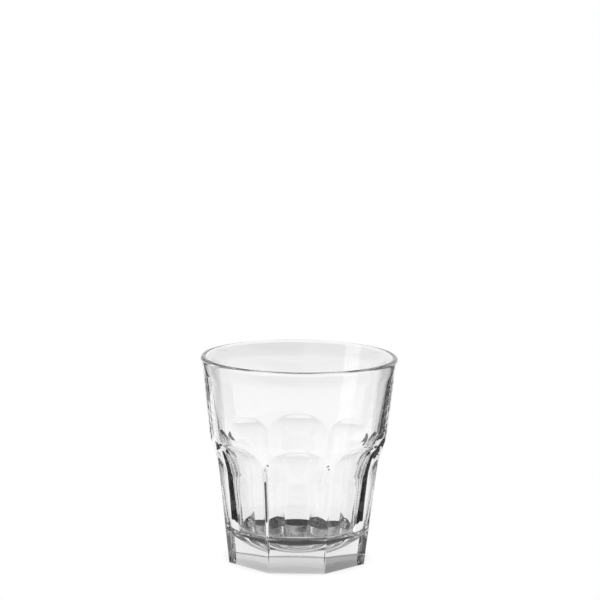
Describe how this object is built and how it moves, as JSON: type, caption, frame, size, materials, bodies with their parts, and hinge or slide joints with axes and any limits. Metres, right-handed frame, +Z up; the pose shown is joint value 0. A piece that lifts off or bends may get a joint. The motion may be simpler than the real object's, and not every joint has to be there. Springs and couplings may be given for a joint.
{
  "type": "whisky glass",
  "caption": "Low pressed-glass tumbler for spirits: a round bowl with a rounded lip, flat panels with arched tops round the lower body and a thick solid base.",
  "frame": {"origin": "centre of the foot, on the surface that the glass stands on", "axes": "+Z up along the axis of the glass, with the middle of one panel facing -Y"},
  "size_m": [0.085, 0.085, 0.089],
  "materials": {
    "clear_glass": "clear soda-lime glass, pressed and fire-polished"
  },
  "bodies": {
    "root": {"tumbler": "clear_glass"}
  },
  "joints": []
}
